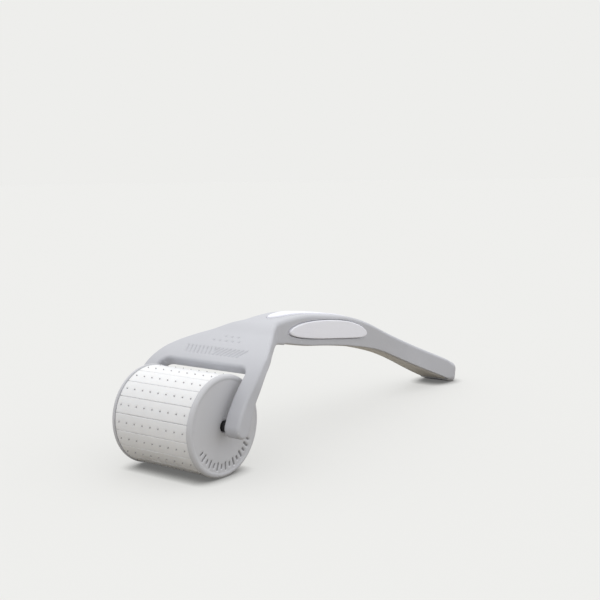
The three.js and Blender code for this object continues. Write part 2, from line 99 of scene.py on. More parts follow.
SHOULDER_RADIUS = 0.8
SHOULDER_CLEARANCE = 0.3
# size of the near-black sleeve that paints shade in the hub recess
SHADE_SLEEVE_RADIUS = 0.92
SOCKET_CLEARANCE = 0.04
TAIL_END_LEAN = 0.2
ARM_ROUNDING = 0.55
POCKET_ROUNDING = 0.08
CUT_ROUNDING = 0.1
SOCKET_END_CLEARANCE = 0.3
TAIL_END_BLEND = 6
# relief on the head plate
HATCH_PLACE = 8.9
HATCH_PITCH = 1.0
HATCHES_EACH_SIDE = 7
HATCH_HALF_LENGTH = 0.9
HATCH_DEPTH = 0.28
HATCH_SLANT = 0.5
HATCH_WIDTH = 0.2
DOT_RADIUS = 0.28
DOT_ROWS = ((12.4, 2), (14.2, 1))
DOT_PITCH = 1.6
# cover and pads
COVER_MARGIN = 3.0
COVER_TAIL_MARGIN = 3.6
COVER_THICKNESS = 1.2
COVER_LIP = 0.5
COVER_RECESS = 0.12
COVER_GROOVE = 0.4
LIP_SHORTENED = 0.3
COVER_CORNER = 0.8
COVER_ROUNDING = 0.2
HANDLE_WALL = 1.7
PAD_DEPTH = 0.75
PAD_PROUD = 0.29
SIDE_PAD_PROUD = 0.4
PAD_ROUNDING = 0.16
SIDE_PAD_START = 4.0
SIDE_PAD_LENGTH = 28.0
SIDE_PAD_TOP_MARGIN = 1.15
SIDE_PAD_BOTTOM_MARGIN = 1.65
SIDE_PAD_LIFT = 0.1
SIDE_PAD_TILT = 0.25
THUMB_PAD_START = 2.8
THUMB_PAD_LENGTH = 29.4
THUMB_PAD_HALF_WIDTH = 2.5
# drum
NEEDLES_PER_ROW = 9
NEEDLE_ROWS = 18
NEEDLE_PITCH = 2.0
NEEDLE_RADIUS = 0.13
NEEDLE_LENGTH = 0.2
NEEDLE_ROOT = 0.3
FIRST_ROW_ANGLE = 2.0
STRIP_DEPTH = 1.9
STRIP_JOINT = 0.03
STRIP_EDGE_ROUNDING = 0.11
STRIP_END_ROUNDING = 0.08
WELL_RADIUS = 0.3
WELL_DEPTH = 0.09
WELL_ROUNDING = 0.04
KEY_WIDTH = 1.1
KEY_DEPTH = 0.8
CORE_WALL = 0.9
FLANGE_LIP = 0.02
FLANGE_RIM = 0.15
FLANGE_ROUNDING = 0.7
FACE_RADIUS = 8.75
DISC_MARK_STEP = math.radians(8.5)
DISC_MARKS = 7
DISC_MARK_DEPTH = 0.24
DISC_MARK_RADIUS = 7.35
DISC_MARK_HALF_WIDTH = 0.2
LONG_MARK_HALF_LENGTH = 0.62
SHORT_MARK_HALF_LENGTH = 0.3
# painted shade in the discs' sunk marks: below this depth under the face, between these radii
SHADE_BELOW_FACE = 0.25
MARK_SHADE_INNER_RADIUS = 6.3
MARK_SHADE_OUTER_RADIUS = 8.5
FACE_LIP = 0.1
HUB_RECESS_ROUNDING = 0.12
DISH_DEPTH = 0.12
HUB_RECESS_RADIUS = 1.05
HUB_RECESS_DEPTH = 1.0
HUB_RADIUS = 2.4
SPIGOT_LENGTH = 3.2
SPIGOT_WALL = 1.1
BEARING_CLEARANCE = 0.08

# how fine each mesh is
HANDLE_STEP = 0.16
COVER_STEP = 0.2
PAD_STEP = 0.14
DISC_STEP = 0.14
SHADE_SLEEVE_STEP = 0.05
STRIP_STEP = 0.09

# ---------------------------------------------------------------- sizes that follow
NECK_HEIGHT = 2 * FLANGE_RADIUS + HEAD_RISE
TAIL_X = HEAD_LENGTH + HANDLE_LENGTH
COVER_START = HEAD_LENGTH + COVER_MARGIN
COVER_END = TAIL_X - COVER_TAIL_MARGIN
ARM_INNER_FACE = ARM_OUTER_FACE - ARM_WIDTH
STRIP_RADIUS = FLANGE_RADIUS - FLANGE_LIP - NEEDLE_LENGTH
ROW_STEP = 2 * math.pi / NEEDLE_ROWS
CORE_FLAT = (STRIP_RADIUS - STRIP_DEPTH) * math.cos(ROW_STEP / 2)
CORE_BORE = CORE_FLAT - KEY_DEPTH - FIT_GAP - CORE_WALL
DISC_INNER_FACE = DISC_OUTER_FACE - FLANGE_RIM - FLANGE_ROUNDING
HUB_FLOOR = DISC_OUTER_FACE - DISH_DEPTH - HUB_RECESS_DEPTH
FIRST_ROW_TURN = -math.pi / 2 + math.radians(FIRST_ROW_ANGLE)


# ================================================================ camera
def make_camera():
    """Looks down a little on the drum's front left, from 19 cm away."""
    heading, tilt, roll = math.radians(36.85), math.radians(7.27), math.radians(-0.76)
    standpoint = Vector((-133.3, -127.1, 45.5)) + Vector((AXLE_X, 0, AXLE_HEIGHT))
    ahead = Vector((
        math.cos(tilt) * math.cos(heading),
        math.cos(tilt) * math.sin(heading),
        -math.sin(tilt),
    ))
    camera = bpy.data.objects.new("camera", bpy.data.cameras.new("camera"))
    bpy.context.scene.collection.objects.link(camera)
    level = ahead.to_track_quat("-Z", "Y").to_matrix().to_4x4()
    camera.matrix_world = Matrix.Translation(standpoint * MM) @ level @ Matrix.Rotation(roll, 4, "Z")
    camera.data.lens = 60
    camera.data.sensor_width = 36
    camera.data.clip_start = 0.01
    camera.data.clip_end = 20
    bpy.context.scene.camera = camera


make_camera()


# ================================================================ fields and meshes
def through(*pairs):
    """A smooth curve through (place, value) pairs that never overshoots them."""
    place = np.array([p for p, _ in pairs], np.float64)
    value = np.array([v for _, v in pairs], np.float64)
    chord = np.diff(value) / np.diff(place)
    slope = np.zeros(len(pairs))
    for i in range(1, len(pairs) - 1):
        before, after = chord[i - 1], chord[i]
        slope[i] = 0 if before * after <= 0 else 2 * before * after / (before + after)

    def curve(x):
        x = np.clip(x, place[0], place[-1])
        i = np.clip(np.searchsorted(place, x) - 1, 0, len(pairs) - 2)
        h = place[i + 1] - place[i]
        t = (x - place[i]) / h
        rise = t * t * (3 - 2 * t)
        bend = h * (slope[i] * t * (1 - t) ** 2 - slope[i + 1] * t * t * (1 - t))
        return value[i] + (value[i + 1] - value[i]) * rise + bend

    return curve


def both(a, b, radius):
    """Where a and b overlap, with the edge between them rounded."""
    corner = np.hypot(np.maximum(a + radius, 0), np.maximum(b + radius, 0))
    return np.minimum(np.maximum(a, b), -radius) + corner


def all_three(a, b, c, radius):
    """Where a, b and c overlap, with their edges and corner rounded."""
    corner = np.hypot(np.maximum(a + radius, 0), np.maximum(b + radius, 0))
    corner = np.hypot(corner, np.maximum(c + radius, 0))
    return np.minimum(np.maximum(np.maximum(a, b), c), -radius) + corner


def without(a, b, radius):
    """a with b cut out of it, with the edge between them rounded."""
    return both(a, -b, radius)


def band(value, low, high):
    """Where value lies between low and high."""
    return np.maximum(low - value, value - high)


def step_up(value, start, end):
    """0 before start, 1 after end and smooth between them."""
    t = np.clip((value - start) / (end - start), 0, 1)
    return t * t * (3 - 2 * t)


def moulded(name, low, high, step, field, mirrored=False):
    """Meshes the surface where field(x, y, z) is zero, in mm; it is negative inside the piece.

    mirrored works out the half with y above 0 and reflects it."""
    axes = [np.arange(a, b + step, step) for a, b in zip(low, high)]
    if mirrored:
        axes[1] = np.arange(0, high[1] + step, step)
    x, y, z = np.meshgrid(*axes, indexing="ij", sparse=True)
    reach = 4 * step
    values = np.clip(field(x, y, z), -reach, reach).astype(np.float32)
    origin = np.array([axis[0] for axis in axes])
    if mirrored:
        values = np.concatenate([values[:, :0:-1], values], axis=1)
        origin[1] = -axes[1][-1]
    grid = openvdb.FloatGrid(reach)
    grid.copyFromArray(values)
    points, quads = grid.convertToQuads(0)
    vertices = (points * step + origin + np.array([AXLE_X, 0, 0])) * MM
    mesh = bpy.data.meshes.new(name)
    mesh.from_pydata(vertices.tolist(), [], quads.tolist())
    mesh.shade_smooth()
    piece = bpy.data.objects.new(name, mesh)
    bpy.context.scene.collection.objects.link(piece)
    return piece


# ================================================================ the handle's spine
def spine_to(tail_height):
    """Points along the spine, in the XZ plane, from the axle over the drum and down to the tail."""
    head_rise = NECK_HEIGHT - AXLE_HEIGHT
    over_drum = [(0, 0), (0.045, 0.18), (0.12, 0.395), (0.265, 0.66), (0.46, 0.83), (0.72, 0.945)]
    down_handle = [(0, 0), (0.15, 0.0435), (0.35, 0.16), (0.575, 0.4), (0.83, 0.76), (1, 1)]
    knots = [(HEAD_LENGTH * along, AXLE_HEIGHT + head_rise * up) for along, up in over_drum]
    knots += [
        (HEAD_LENGTH + HANDLE_LENGTH * along, NECK_HEIGHT - (NECK_HEIGHT - tail_height) * down)
        for along, down in down_handle
    ]
    knots = np.array(knots)
    knots = np.vstack([knots[:1], knots, knots[-1:]])
    steps = np.linspace(0, 1, 60)[:, None]
    pieces = []
    for a, b, c, d in zip(knots, knots[1:], knots[2:], knots[3:]):
        lead, tail = (c - a) / 2, (d - b) / 2
        cubic = 2 * b - 2 * c + lead + tail
        square = -3 * b + 3 * c - 2 * lead - tail
        pieces.append(cubic * steps**3 + square * steps**2 + lead * steps + b)
    points = np.vstack([piece[:-1] for piece in pieces] + [knots[-1:]])
    return points


def directions(points):
    along = np.gradient(points, axis=0)
    return along / np.linalg.norm(along, axis=1)[:, None]


tail_height = TAIL_THICKNESS / 2
for _ in range(4):
    tail_height = TAIL_THICKNESS / 2 * directions(spine_to(tail_height))[-1, 0] - FOOT_DEPTH
spine = spine_to(tail_height)
spine_along = directions(spine)
spine_length = np.concatenate([[0], np.cumsum(np.linalg.norm(np.diff(spine, axis=0), axis=1))])

half_width_at = through(
    (HEAD_LENGTH * 0.16, ARM_OUTER_FACE),
    (HEAD_LENGTH * 0.36, ARM_OUTER_FACE - (ARM_OUTER_FACE - NECK_HALF_WIDTH) * 0.12),
    (HEAD_LENGTH * 0.62, ARM_OUTER_FACE - (ARM_OUTER_FACE - NECK_HALF_WIDTH) * 0.45),
    (HEAD_LENGTH * 0.9, NECK_HALF_WIDTH + (ARM_OUTER_FACE - NECK_HALF_WIDTH) * 0.15),
    (HEAD_LENGTH * 1.04, NECK_HALF_WIDTH),
    (HEAD_LENGTH + HANDLE_LENGTH * 0.22, GRIP_HALF_WIDTH),
    (HEAD_LENGTH + HANDLE_LENGTH * 0.37, GRIP_HALF_WIDTH * 0.98),
    (HEAD_LENGTH + HANDLE_LENGTH * 0.66, WAIST_HALF_WIDTH),
    (HEAD_LENGTH + HANDLE_LENGTH * 0.97, TAIL_HALF_WIDTH),
)
thickness_at = through(
    (0, ARM_TIP_THICKNESS),
    (HEAD_LENGTH * 0.1, ARM_THICKNESS),
    (HEAD_LENGTH * 0.27, PLATE_THICKNESS),
    (HEAD_LENGTH * 0.7, PLATE_THICKNESS * 1.2),
    (HEAD_LENGTH * 0.96, NECK_THICKNESS),
    (HEAD_LENGTH + HANDLE_LENGTH * 0.16, GRIP_THICKNESS),
    (HEAD_LENGTH + HANDLE_LENGTH * 0.28, GRIP_THICKNESS),
    (HEAD_LENGTH + HANDLE_LENGTH * 0.6, WAIST_THICKNESS),
    (HEAD_LENGTH + HANDLE_LENGTH, TAIL_THICKNESS),
)
rounding_at = through(
    (HEAD_LENGTH * 0.35, ARM_ROUNDING),
    (HEAD_LENGTH * 0.8, PLATE_ROUNDING),
    (HEAD_LENGTH * 1.2, GRIP_ROUNDING),
    (HEAD_LENGTH + HANDLE_LENGTH * 0.3, GRIP_ROUNDING),
    (HEAD_LENGTH + HANDLE_LENGTH * 0.6, TAIL_ROUNDING),
)


def window_edge():
    """How far along the spine the crossbar starts: where the plate's underside clears the drum."""
    under = spine - np.stack([-spine_along[:, 1], spine_along[:, 0]], 1) * (
        thickness_at(spine[:, 0])[:, None] / 2
    )
    clear = np.hypot(under[:, 0], under[:, 1] - AXLE_HEIGHT) > (
        FLANGE_RADIUS + NEEDLE_LENGTH + WINDOW_CLEARANCE
    )
    return spine_length[np.argmax(clear & (spine[:, 0] > HEAD_LENGTH * 0.2))]


WINDOW_EDGE = window_edge()


class Station:
    """Where points lie on the spine: how far along it, how high above it, and its sizes there."""

    def __init__(self, x, z):
        flat_x, flat_z = np.broadcast_arrays(x, z)
        point = np.stack([flat_x.ravel(), flat_z.ravel()], 1)
        nearest = np.empty(len(point), int)
        squares = (spine**2).sum(1)
        for start in range(0, len(point), 4000):
            part = point[start : start + 4000]
            nearest[start : start + 4000] = np.argmin(squares - 2 * part @ spine.T, axis=1)
        offset = point - spine[nearest]
        onward = (offset * spine_along[nearest]).sum(1)
        above = offset[:, 1] * spine_along[nearest, 0] - offset[:, 0] * spine_along[nearest, 1]
        shape = flat_x.shape
        self.along = (spine_length[nearest] + onward).reshape(shape)
        self.above = above.reshape(shape)
        self.x = (spine[nearest, 0] + onward * spine_along[nearest, 0]).reshape(shape)
        self.half_width = half_width_at(self.x)
        slope = (half_width_at(self.x + 0.1) - half_width_at(self.x - 0.1)) / 0.2
        self.width_scale = 1 / np.hypot(1, slope)
        self.half_thickness = thickness_at(self.x) / 2


def oval(along, across, half_length, half_across):
    """A long oval with full ends: the field of |along|^2.4 + |across|^2 = 1 in its own halves."""
    t, v = np.abs(along) / half_length, np.abs(across) / half_across
    steep = np.hypot(2.4 * t**1.4 / half_length, 2 * v / half_across)
    return np.maximum((t**2.4 + v * v - 1) / np.maximum(steep, 0.2), -2.5)


def side_pad_outline(station):
    middle = HEAD_LENGTH + SIDE_PAD_START + SIDE_PAD_LENGTH / 2
    share = np.clip((station.x - middle) / (SIDE_PAD_LENGTH / 2), -1.2, 1.2)
    up = station.above - SIDE_PAD_LIFT - SIDE_PAD_TILT * share
    margin = np.where(up > 0, SIDE_PAD_TOP_MARGIN, SIDE_PAD_BOTTOM_MARGIN)
    half_height = GRIP_THICKNESS / 2 - margin
    return oval(station.x - middle, up, SIDE_PAD_LENGTH / 2, half_height)


def thumb_pad_outline(station, y):
    middle = HEAD_LENGTH + THUMB_PAD_START + THUMB_PAD_LENGTH / 2
    return oval(station.x - middle, y, THUMB_PAD_LENGTH / 2, THUMB_PAD_HALF_WIDTH)


# ================================================================ handle pieces
def grip_marks(station, y):
    """Height of the head plate's relief: a band of slanted grooves, and two rows of sunk dots behind it."""
    from_band = station.x - HATCH_PLACE
    slant = y - HATCH_SLANT * from_band
    groove = np.clip(np.round(slant / HATCH_PITCH), -HATCHES_EACH_SIDE, HATCHES_EACH_SIDE)
    beyond = np.maximum(np.abs(from_band) - HATCH_HALF_LENGTH, 0)
    off_groove = np.hypot(slant - groove * HATCH_PITCH, beyond) / HATCH_WIDTH
    relief = -HATCH_DEPTH * np.exp(-(off_groove**2))
    for row_place, reach in DOT_ROWS:
        dot = np.clip(np.round(y / DOT_PITCH), -reach, reach)
        off_dot = np.hypot(station.x - row_place, y - dot * DOT_PITCH) / DOT_RADIUS
        relief = relief - HATCH_DEPTH * np.exp(-(off_dot**2))
    return relief


def window_field(station, y):
    """The opening between the arms, in front of the crossbar, with rounded corners."""
    q_across = y - (ARM_INNER_FACE - WINDOW_CORNER)
    q_along = station.along - (WINDOW_EDGE - WINDOW_CORNER)
    outside = np.hypot(np.maximum(q_across, 0), np.maximum(q_along, 0))
    return np.minimum(np.maximum(q_across, q_along), 0) + outside - WINDOW_CORNER


def handle_field(x, y, z):
    station = Station(x, z)
    outer = (y - station.half_width) * station.width_scale
    tip = np.hypot(np.minimum(station.along, 0), station.above) - ARM_TIP_THICKNESS / 2
    before_axle = station.along < 0
    relief = grip_marks(station, y)
    top = np.where(before_axle, tip, station.above - station.half_thickness - relief)
    bottom = np.where(before_axle, tip, -station.above - station.half_thickness)
    window = window_field(station, y)
    end = station.along - spine_length[-1] + TAIL_END_LEAN * station.above
    inside_rounding = ARM_INSIDE_ROUNDING + (WINDOW_ROUNDING - ARM_INSIDE_ROUNDING) * step_up(
        station.along, WINDOW_EDGE - 2.5, WINDOW_EDGE - 0.3
    )
    rounder = step_up(end, -TAIL_END_BLEND, -TAIL_END_ROUNDING)
    top_rounding = rounding_at(station.x)
    top_rounding = top_rounding + (TAIL_END_ROUNDING - top_rounding) * rounder
    under_rounding = UNDERSIDE_ROUNDING + (TAIL_END_ROUNDING - UNDERSIDE_ROUNDING) * rounder
    body = all_three(outer, top, end, top_rounding)
    body = np.maximum(body, all_three(outer, bottom, end, under_rounding))
    body = np.maximum(body, without(top, window, inside_rounding))
    body = np.maximum(body, without(bottom, window, UNDERSIDE_ROUNDING))

    # shoulders that keep the drum central, and the sockets of the axle
    from_axle = np.hypot(x, z - AXLE_HEIGHT)
    shoulder = np.maximum(
        from_axle - SHOULDER_RADIUS, band(y, HUB_FLOOR + SHOULDER_CLEARANCE, ARM_INNER_FACE + 1)
    )
    body = np.minimum(body, shoulder)
    socket_depth = band(y, 0, AXLE_END + SOCKET_END_CLEARANCE)
    socket = np.maximum(from_axle - AXLE_RADIUS - SOCKET_CLEARANCE, socket_depth)
    body = np.maximum(body, -socket)

    # pockets of the pads
    pocket = np.maximum(side_pad_outline(station) - SEAM, station.half_width - PAD_DEPTH - SEAM - y)
    body = without(body, pocket, POCKET_ROUNDING)
    thumb_pocket = np.maximum(
        thumb_pad_outline(station, y) - SEAM,
        station.half_thickness - PAD_DEPTH - SEAM - station.above,
    )
    body = without(body, thumb_pocket, POCKET_ROUNDING)

    # the hollow, and the rebate that its cover sits in
    channel = np.maximum(
        band(station.x, COVER_START + HANDLE_WALL, COVER_END - HANDLE_WALL),
        y - station.half_width + HANDLE_WALL,
    )
    channel = np.maximum(channel, station.above - station.half_thickness + HANDLE_WALL)
    beside_cover = band(station.x, COVER_START - FIT_GAP, COVER_END + FIT_GAP)
    rebate = np.maximum(beside_cover, y - station.half_width + COVER_LIP)
    rebate_roof = COVER_RECESS + COVER_THICKNESS + FIT_GAP - station.half_thickness
    rebate = both(rebate, station.above - rebate_roof, CUT_ROUNDING)
    shadow_line = np.maximum(beside_cover, station.above + station.half_thickness - LIP_SHORTENED)
    body = without(body, shadow_line, CUT_ROUNDING)
    body = np.maximum(body, -channel)
    body = without(body, rebate, POCKET_ROUNDING)
    return both(body, -z, CUT_ROUNDING)


def cover_field(x, y, z):
    station = Station(x, z)
    outline = both(
        band(station.x, COVER_START, COVER_END),
        (y - station.half_width + COVER_LIP + COVER_GROOVE) * station.width_scale,
        COVER_CORNER,
    )
    face = -station.above - station.half_thickness + COVER_RECESS
    back = station.above + station.half_thickness - COVER_RECESS - COVER_THICKNESS
    return np.maximum(both(outline, face, COVER_ROUNDING), both(outline, back, CUT_ROUNDING))


def side_pad_field(x, y, z):
    station = Station(x, z)
    outline = side_pad_outline(station)
    face = (y - station.half_width - SIDE_PAD_PROUD) * station.width_scale
    back = station.half_width - PAD_DEPTH - y
    return np.maximum(both(outline, face, PAD_ROUNDING), back)


def thumb_pad_field(x, y, z):
    station = Station(x, z)
    outline = thumb_pad_outline(station, y)
    face = station.above - station.half_thickness - PAD_PROUD
    back = station.half_thickness - PAD_DEPTH - station.above
    return np.maximum(both(outline, face, PAD_ROUNDING), back)


# ================================================================ drum pieces
def strip_field(x, y, z):
    """One strip with its needles up, about the drum's axis: x across it, z out from the axis."""
    radius = np.hypot(x, z)
    side = np.abs(x) * math.cos(ROW_STEP / 2) - z * math.sin(ROW_STEP / 2) + STRIP_JOINT / 2
    end = y - STRIP_HALF_LENGTH
    seat = CORE_FLAT + FIT_GAP / 2 - z
    outside = radius - STRIP_RADIUS
    strip = np.maximum(both(outside, side, STRIP_EDGE_ROUNDING), both(outside, end, STRIP_END_ROUNDING))
    strip = np.maximum(strip, seat)
    key_height = band(z, CORE_FLAT + FIT_GAP / 2 - KEY_DEPTH, STRIP_RADIUS - 1)
    key = np.maximum(np.abs(x) - KEY_WIDTH / 2, key_height)
    strip = np.maximum(np.minimum(strip, key), end)
    ball = (WELL_RADIUS**2 + WELL_DEPTH**2) / (2 * WELL_DEPTH)
    from_needle = y - NEEDLE_PITCH * np.clip(np.round(y / NEEDLE_PITCH), 0, NEEDLES_PER_ROW // 2)
    height = z - (STRIP_RADIUS - WELL_DEPTH + ball)
    well = np.sqrt(x * x + from_needle**2 + height**2) - ball
    return without(strip, well, WELL_ROUNDING)


def make_strip_mesh():
    piece = moulded(
        "strip_pattern",
        (-1.8, 0, CORE_FLAT - KEY_DEPTH - 0.2),
        (1.8, STRIP_HALF_LENGTH + 0.2, STRIP_RADIUS + 0.2),
        STRIP_STEP,
        strip_field,
        mirrored=True,
    )
    mesh = piece.data
    mesh.transform(Matrix.Translation((-AXLE_X * MM, 0, 0)))
    bpy.data.objects.remove(piece)
    return mesh


def make_needle_mesh():
    """One row of ground needles: a root in the strip, a short shank and a long point."""
    build = bmesh.new()
    rings = [
        (STRIP_RADIUS - NEEDLE_ROOT, NEEDLE_RADIUS),
        (STRIP_RADIUS - 0.02, NEEDLE_RADIUS),
        (STRIP_RADIUS + NEEDLE_LENGTH * 0.35, NEEDLE_RADIUS * 0.8),
        (STRIP_RADIUS + NEEDLE_LENGTH, NEEDLE_RADIUS * 0.1),
    ]
    sides = 12
    for number in range(NEEDLES_PER_ROW):
        y = (number - (NEEDLES_PER_ROW - 1) / 2) * NEEDLE_PITCH
        loops = []
        for height, radius in rings:
            turns = [2 * math.pi * i / sides for i in range(sides)]
            loops.append([
                build.verts.new((radius * math.cos(t) * MM, (y + radius * math.sin(t)) * MM, height * MM))
                for t in turns
            ])
        for lower, upper in zip(loops, loops[1:]):
            for i in range(sides):
                j = (i + 1) % sides
                build.faces.new((lower[i], lower[j], upper[j], upper[i]))
        build.faces.new(loops[0][::-1])
        build.faces.new(loops[-1])
    mesh = bpy.data.meshes.new("needle_row_pattern")
    build.to_mesh(mesh)
    build.free()
    mesh.shade_smooth()
    return mesh


def ring(radius, place, inner, outer, start, end):
    """A ring about the axle between two radii and two places along it."""
    return np.maximum(band(radius, inner, outer), band(place, start, end))


def disc_field(x, y, z):
    """The end disc at the y end of the drum, about the drum's axis."""
    radius = np.hypot(x, z)
    dish = DISH_DEPTH * (1 - step_up(radius, HUB_RECESS_RADIUS, FACE_RADIUS))
    lip = FACE_LIP * (1 - step_up(radius, FACE_RADIUS - 0.3, FACE_RADIUS))
    face = y - (DISC_OUTER_FACE - dish - lip)
    rim = radius - FLANGE_RADIUS
    disc = np.maximum(both(rim, face, FLANGE_ROUNDING), DISC_INNER_FACE - y)
    spigot_end = DISC_INNER_FACE - SPIGOT_LENGTH
    spigot = CORE_BORE - FIT_GAP
    root = DISC_INNER_FACE + 0.1
    disc = np.minimum(disc, ring(radius, y, spigot - SPIGOT_WALL, spigot, spigot_end, root))
    disc = np.minimum(disc, ring(radius, y, 0, HUB_RADIUS, spigot_end, root))
    recess = ring(radius, y, -1, HUB_RECESS_RADIUS, HUB_FLOOR, DISC_OUTER_FACE + 1)
    disc = without(disc, recess, HUB_RECESS_ROUNDING)
    disc = np.maximum(disc, AXLE_RADIUS + BEARING_CLEARANCE - radius)

    # long and short radial marks by turns, round the lower edge of the face
    turn = np.arctan2(x, -z)
    mark = np.clip(np.round(turn / DISC_MARK_STEP), -DISC_MARKS, DISC_MARKS)
    off_centre = radius * np.sin(turn - mark * DISC_MARK_STEP)
    along = radius * np.cos(turn - mark * DISC_MARK_STEP)
    half_length = np.where(mark % 2 == 0, LONG_MARK_HALF_LENGTH, SHORT_MARK_HALF_LENGTH)
    beyond = np.maximum(np.abs(along - DISC_MARK_RADIUS) - half_length, 0)
    bar = np.hypot(off_centre, beyond) - DISC_MARK_HALF_WIDTH
    groove = np.maximum(bar, -(face + DISC_MARK_DEPTH))
    return without(disc, groove, 0.05)


def shade_sleeve_field(x, y, z):
    """A near-black sleeve round an arm's shoulder, where it enters the hub recess: painted shade, a dark
    piece that stands in for the shade inside the recess.
    """
    radius = np.hypot(x, z)
    outside = both(radius - SHADE_SLEEVE_RADIUS, HUB_FLOOR + SHOULDER_CLEARANCE - 0.02 - y, 0.06)
    return np.maximum(np.maximum(outside, y - ARM_INNER_FACE + 0.02), SHOULDER_RADIUS + 0.01 - radius)


# ================================================================ materials
def node(tree, kind, **values):
    """Adds a node; keyword values set its inputs by name, or its own settings where it has no such input."""
    made = tree.nodes.new("ShaderNode" + kind)
    for key, value in values.items():
        if hasattr(made, key):
            setattr(made, key, value)
    for key, value in values.items():
        if not hasattr(made, key):
            made.inputs[key.replace("_", " ")].default_value = value
    return made


def new_group(name, sockets_in, sockets_out):
    """A shader node group with float sockets; gives the tree, its input node and its output node."""
    group = bpy.data.node_groups.new(name, "ShaderNodeTree")
    for socket, value in sockets_in.items():
        made = group.interface.new_socket(socket, in_out="INPUT", socket_type="NodeSocketFloat")
        made.default_value = value
    for socket in sockets_out:
        group.interface.new_socket(socket, in_out="OUTPUT", socket_type="NodeSocketFloat")
    return group, group.nodes.new("NodeGroupInput"), group.nodes.new("NodeGroupOutput")


def make_moulded_grain():
    """Fine spark-eroded mould texture, and the slow drift in shade that a moulding has."""
    tree, given, result = new_group(
        "moulded_grain", {"Grain per metre": 4500, "Drift per metre": 90}, ["Height", "Drift"]
    )
    place = node(tree, "TexCoord")
    grain = node(tree, "TexNoise", Detail=3, Roughness=0.65)
    drift = node(tree, "TexNoise", Detail=2, Roughness=0.5)
    for texture, rate in ((grain, "Grain per metre"), (drift, "Drift per metre")):
        tree.links.new(place.outputs["Object"], texture.inputs["Vector"])
        tree.links.new(given.outputs[rate], texture.inputs["Scale"])
    tree.links.new(grain.outputs["Fac"], result.inputs["Height"])
    tree.links.new(drift.outputs["Fac"], result.inputs["Drift"])
    return tree


def make_edge_wear_and_crease_shade():
    """Rubbed: 1 along the edges that hands have worn, broken up by noise. Painted crease shade: 1 in the
    creases, where the colour is darkened as painted shade.
    """
    tree, given, result = new_group("edge_wear_and_crease_shade", {"Amount": 1}, ["Rubbed", "Painted crease shade"])
    shape = node(tree, "NewGeometry")
    # painted shade: marks the creases, where the colour is darkened to stand in for shade
    crease_shade_mask = node(tree, "MapRange", From_Min=0.47, From_Max=0.38)
    tree.links.new(shape.outputs["Pointiness"], crease_shade_mask.inputs["Value"])
    tree.links.new(crease_shade_mask.outputs["Result"], result.inputs["Painted crease shade"])
    edge = node(tree, "MapRange", From_Min=0.53, From_Max=0.62)
    place = node(tree, "TexCoord")
    patches = node(tree, "TexNoise", Scale=700, Detail=3, Roughness=0.6)
    broken = node(tree, "MapRange", From_Min=0.4, From_Max=0.62)
    both_masks = node(tree, "Math", operation="MULTIPLY")
    scaled = node(tree, "Math", operation="MULTIPLY")
    tree.links.new(shape.outputs["Pointiness"], edge.inputs["Value"])
    tree.links.new(place.outputs["Object"], patches.inputs["Vector"])
    tree.links.new(patches.outputs["Fac"], broken.inputs["Value"])
    tree.links.new(edge.outputs["Result"], both_masks.inputs[0])
    tree.links.new(broken.outputs["Result"], both_masks.inputs[1])
    tree.links.new(both_masks.outputs["Value"], scaled.inputs[0])
    tree.links.new(given.outputs["Amount"], scaled.inputs[1])
    tree.links.new(scaled.outputs["Value"], result.inputs["Rubbed"])
    return tree


def make_turned_rings():
    """Fine rings about the piece's own Y axis, left by the lathe that cut the mould."""
    tree, given, result = new_group("turned_rings", {"Rings per metre": 2500}, ["Height"])
    place = node(tree, "TexCoord")
    rings = node(tree, "TexWave", wave_type="RINGS", rings_direction="Y", Distortion=0.6, Detail=2)
    tree.links.new(place.outputs["Object"], rings.inputs["Vector"])
    tree.links.new(given.outputs["Rings per metre"], rings.inputs["Scale"])
    tree.links.new(rings.outputs["Fac"], result.inputs["Height"])
    return tree


moulded_grain = make_moulded_grain()
edge_wear_and_crease_shade = make_edge_wear_and_crease_shade()
turned_rings = make_turned_rings()


def place_group(tree, group, **values):
    made = tree.nodes.new("ShaderNodeGroup")
    made.node_tree = group
    for socket, value in values.items():
        made.inputs[socket.replace("_", " ")].default_value = value
    return made


def make_painted_mark_shade():
    """Painted shade: 1 inside the marks sunk in an end disc's face, about the disc's own axis, where the
    colour is darkened as painted shade.
    """
    tree, given, result = new_group("painted_mark_shade", {"Face": 1.0, "Inner": 1.0, "Outer": 1.0}, ["Ink"])
    place = node(tree, "TexCoord")
    parts = node(tree, "SeparateXYZ")
    flat = node(tree, "CombineXYZ")
    radius = node(tree, "VectorMath", operation="LENGTH")
    depth = node(tree, "Math", operation="ABSOLUTE")
    sunk = node(tree, "Math", operation="LESS_THAN")
    beyond = node(tree, "Math", operation="GREATER_THAN")
    within = node(tree, "Math", operation="LESS_THAN")
    ringed = node(tree, "Math", operation="MULTIPLY")
    mark_shaded = node(tree, "Math", operation="MULTIPLY")
    link = tree.links.new
    link(place.outputs["Object"], parts.inputs["Vector"])
    link(parts.outputs["X"], flat.inputs["X"])
    link(parts.outputs["Z"], flat.inputs["Z"])
    link(flat.outputs["Vector"], radius.inputs[0])
    link(parts.outputs["Y"], depth.inputs[0])
    link(depth.outputs["Value"], sunk.inputs[0])
    link(given.outputs["Face"], sunk.inputs[1])
    link(radius.outputs["Value"], beyond.inputs[0])
    link(given.outputs["Inner"], beyond.inputs[1])
    link(radius.outputs["Value"], within.inputs[0])
    link(given.outputs["Outer"], within.inputs[1])
    link(beyond.outputs["Value"], ringed.inputs[0])
    link(within.outputs["Value"], ringed.inputs[1])
    link(ringed.outputs["Value"], mark_shaded.inputs[0])
    link(sunk.outputs["Value"], mark_shaded.inputs[1])
    link(mark_shaded.outputs["Value"], result.inputs["Ink"])
    return tree


painted_mark_shade = make_painted_mark_shade()


